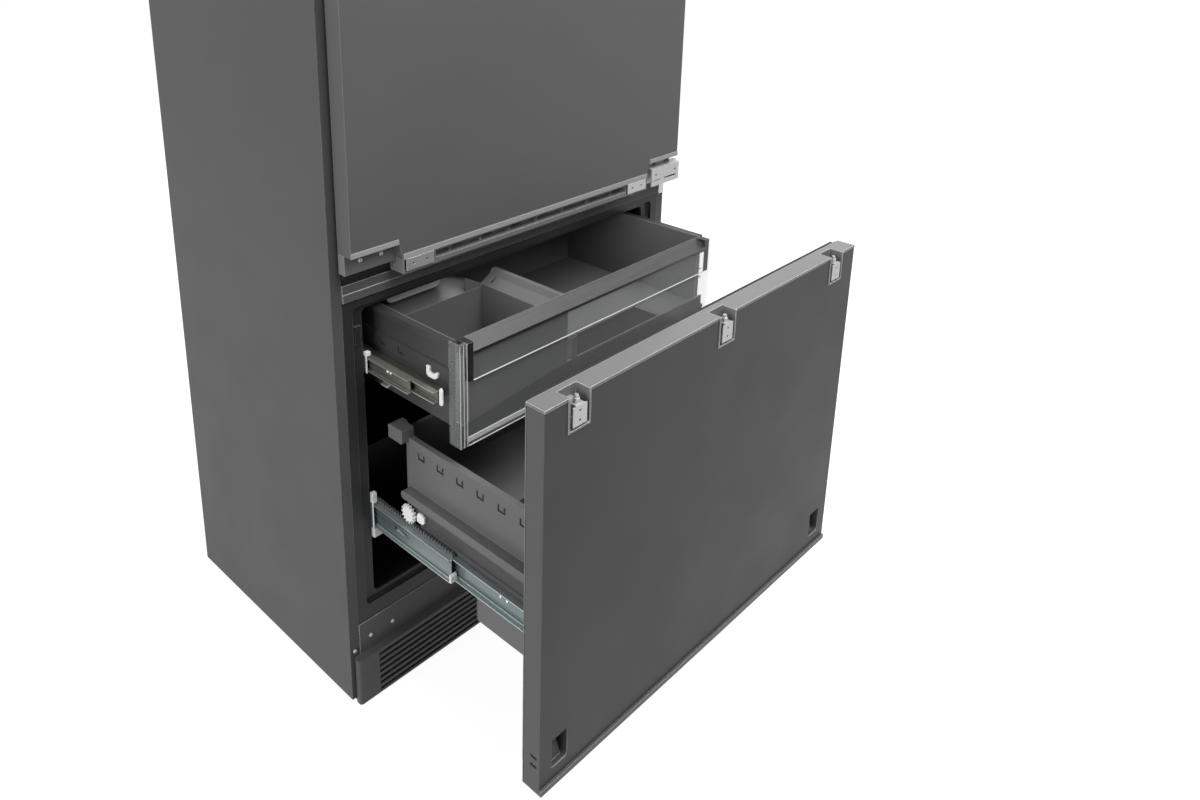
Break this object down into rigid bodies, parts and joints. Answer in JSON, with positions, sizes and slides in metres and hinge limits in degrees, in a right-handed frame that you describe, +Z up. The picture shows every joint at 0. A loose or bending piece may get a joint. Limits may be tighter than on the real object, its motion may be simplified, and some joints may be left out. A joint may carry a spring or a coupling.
{
  "type": "bottom freezer refrigerator",
  "caption": "Built-in, panel-ready refrigerator with a hinged fridge door over a pull-out freezer drawer that holds a glass-fronted inner drawer and a deep basket.",
  "frame": {"origin": "on the floor, under the middle of the whole object's bounding box with both freezer drawers pulled out as pictured", "axes": "+Z up; -Y out of the front towards the user; +X to the user's right when facing the front, the side of the door's hinges"},
  "size_m": [0.908, 1.039, 2.134],
  "materials": {
    "wrapper_steel": "satin",
    "bare_steel": "satin",
    "zinc_steel": "bright zinc",
    "graphite_skin": "satin",
    "graphite_plastic": "satin",
    "dark_liner": "satin",
    "grey_bin": "satin",
    "light_cap": "satin",
    "white_plastic": "satin",
    "pale_plastic": "satin",
    "black_plastic": "gloss",
    "clear_plastic": "clear",
    "lens": "frosted",
    "shelf_glass": "clear",
    "front_glass": "clear",
    "brushed_bar": "brushed dark",
    "coil_aluminium": "bare",
    "rubber_black": "matte",
    "rubber_grey": "matte",
    "compressor_paint": "gloss",
    "foam": "matte"
  },
  "bodies": {
    "cabinet": {"cabinet_wrapper": "wrapper_steel", "rear_panels": "bare_steel", "machine_decks": "bare_steel", "front_frame": "graphite_plastic", "front_rails": "graphite_skin", "kick_grille": "graphite_plastic", "cabinet_foam": "foam", "freezer_liner": "dark_liner", "fridge_liner": "dark_liner", "floor_supports": "zinc_steel", "compressor": "compressor_paint", "compressor_grommets": "rubber_black", "condenser": "coil_aluminium", "fan_motors": "black_plastic", "drain_pan": "black_plastic", "power_inlet": "black_plastic", "evaporator_cover": "pale_plastic", "evaporator": "coil_aluminium", "lamp_lenses": "lens", "control_panel": "pale_plastic", "slides_outer": "zinc_steel", "slide_brackets": "white_plastic", "shelf_glass": "shelf_glass", "shelf_frames": "grey_bin", "cabinet_hinges": "zinc_steel"},
    "rear_roller_left": {"rear_roller_left": "black_plastic"},
    "rear_roller_right": {"rear_roller_right": "black_plastic"},
    "condenser_fan": {"condenser_fan": "black_plastic"},
    "evaporator_fan": {"evaporator_fan": "pale_plastic"},
    "lower_middles": {"lower_slide_middles": "zinc_steel", "slide_racks": "white_plastic"},
    "upper_middles": {"upper_slide_middles": "zinc_steel"},
    "freezer_drawer": {"drawer_skin": "graphite_skin", "drawer_foam": "foam", "drawer_top_cap": "light_cap", "drawer_sockets": "black_plastic", "drawer_bottom_trim": "graphite_plastic", "drawer_inner_panel": "pale_plastic", "drawer_gasket": "rubber_grey", "drawer_panel_brackets": "bare_steel", "drawer_side_frames": "zinc_steel", "lower_slide_inners": "zinc_steel", "freezer_basket": "grey_bin"},
    "stabiliser": {"stabiliser_shaft": "white_plastic"},
    "inner_drawer": {"inner_bin": "grey_bin", "bin_divider": "grey_bin", "quick_tray": "black_plastic", "inner_front_glass": "front_glass", "inner_handle_bar": "brushed_bar", "upper_slide_inners": "zinc_steel"},
    "fridge_door": {"door_skin": "graphite_skin", "door_foam": "foam", "door_bottom_cap": "graphite_plastic", "door_panel_brackets": "bare_steel", "door_inner_panel": "pale_plastic", "door_gasket": "rubber_grey", "door_bins": "clear_plastic", "door_hinges": "bare_steel"},
    "crisper_left": {"crisper_left": "clear_plastic"},
    "crisper_right": {"crisper_right": "clear_plastic"}
  },
  "joints": [
    {"name": "freezer_drawer_slide", "type": "slide", "parent": "cabinet", "child": "freezer_drawer", "axis": [0, -1, 0], "range_m": [-0.426, 0.054]},
    {"name": "lower_middle_slide", "type": "slide", "parent": "cabinet", "child": "lower_middles", "axis": [0, -1, 0], "range_m": [-0.213, 0.027]},
    {"name": "inner_drawer_slide", "type": "slide", "parent": "cabinet", "child": "inner_drawer", "axis": [0, -1, 0], "range_m": [-0.2321, 0.02945]},
    {"name": "upper_middle_slide", "type": "slide", "parent": "cabinet", "child": "upper_middles", "axis": [0, -1, 0], "range_m": [-0.1161, 0.01475]},
    {"name": "stabiliser_turn", "type": "hinge", "parent": "freezer_drawer", "child": "stabiliser", "pos_m": [0, -0.1335, 0.431], "axis": [1, 0, 0], "range_deg": [-763, 97]},
    {"name": "fridge_door_hinge", "type": "hinge", "parent": "cabinet", "child": "fridge_door", "pos_m": [0.445, -0.0755, 1.5], "axis": [0, 0, 1], "range_deg": [0, 115]},
    {"name": "crisper_left_slide", "type": "slide", "parent": "cabinet", "child": "crisper_left", "axis": [0, -1, 0], "range_m": [0, 0.2409]},
    {"name": "crisper_right_slide", "type": "slide", "parent": "cabinet", "child": "crisper_right", "axis": [0, -1, 0], "range_m": [0, 0.2409]},
    {"name": "condenser_fan_turn", "type": "hinge", "parent": "cabinet", "child": "condenser_fan", "pos_m": [-0.22, 0.1445, 0.1], "axis": [0, 1, 0], "continuous": true},
    {"name": "evaporator_fan_turn", "type": "hinge", "parent": "cabinet", "child": "evaporator_fan", "pos_m": [0, 0.4335, 0.735], "axis": [0, 1, 0], "continuous": true},
    {"name": "rear_roller_left_turn", "type": "hinge", "parent": "cabinet", "child": "rear_roller_left", "pos_m": [-0.4, 0.4745, 0.017], "axis": [1, 0, 0], "continuous": true},
    {"name": "rear_roller_right_turn", "type": "hinge", "parent": "cabinet", "child": "rear_roller_right", "pos_m": [0.4, 0.4745, 0.017], "axis": [1, 0, 0], "continuous": true}
  ],
  "couplings": [
    {"joint": "lower_middle_slide", "follows": "freezer_drawer_slide", "ratio": 0.5},
    {"joint": "inner_drawer_slide", "follows": "freezer_drawer_slide", "ratio": 0.5446},
    {"joint": "upper_middle_slide", "follows": "freezer_drawer_slide", "ratio": 0.2723},
    {"joint": "stabiliser_turn", "follows": "freezer_drawer_slide", "rad_per_m": 31.25},
    {"joint": "crisper_left_slide", "follows": "fridge_door_hinge", "m_per_rad": 0.12},
    {"joint": "crisper_right_slide", "follows": "fridge_door_hinge", "m_per_rad": 0.12}
  ]
}
